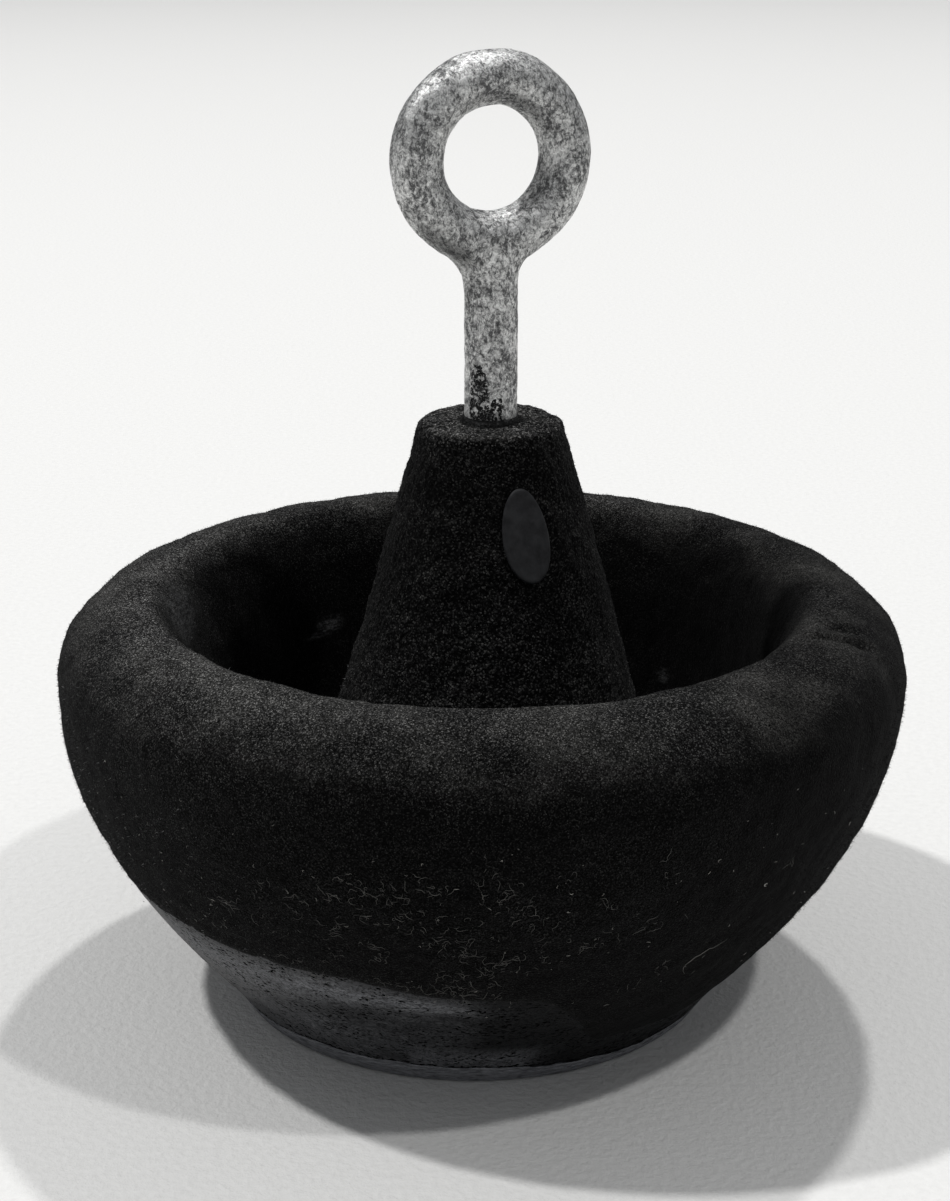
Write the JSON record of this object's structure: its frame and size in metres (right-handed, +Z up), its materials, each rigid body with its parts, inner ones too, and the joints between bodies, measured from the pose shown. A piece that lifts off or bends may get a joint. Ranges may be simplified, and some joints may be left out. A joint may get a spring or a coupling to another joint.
{
  "type": "mushroom anchor",
  "caption": "Mushroom anchor: flocked round bowl with a thick rolled rim, a central cone, a rubber-dipped foot and a galvanised eye bolt.",
  "frame": {"origin": "centre of the foot on the ground", "axes": "+Z up along the shank, the front with the oval badge faces -Y"},
  "size_m": [0.214, 0.214, 0.2392],
  "materials": {
    "cast_iron": "rough cast",
    "flock": "fine black flock",
    "flock_coarse": "coarse black flock",
    "rubber_coat": "smooth dip with pinholes",
    "rubber_pad": "smooth, dull",
    "badge_grey": "smooth satin",
    "residue": "lumpy",
    "galvanised": "mottled hot-dip zinc"
  },
  "bodies": {
    "root": {"bowl_casting": "cast_iron", "bowl_cover": "flock", "bowl_floor_cover": "flock", "base_coat": "rubber_coat", "base_pad": "rubber_pad", "cone_casting": "cast_iron", "cone_cover": "flock_coarse", "side_badge": "badge_grey", "sealant_bead": "residue", "eye_bolt": "galvanised", "flat_washer": "galvanised", "lock_washer": "galvanised", "hex_nut": "galvanised"}
  },
  "joints": []
}
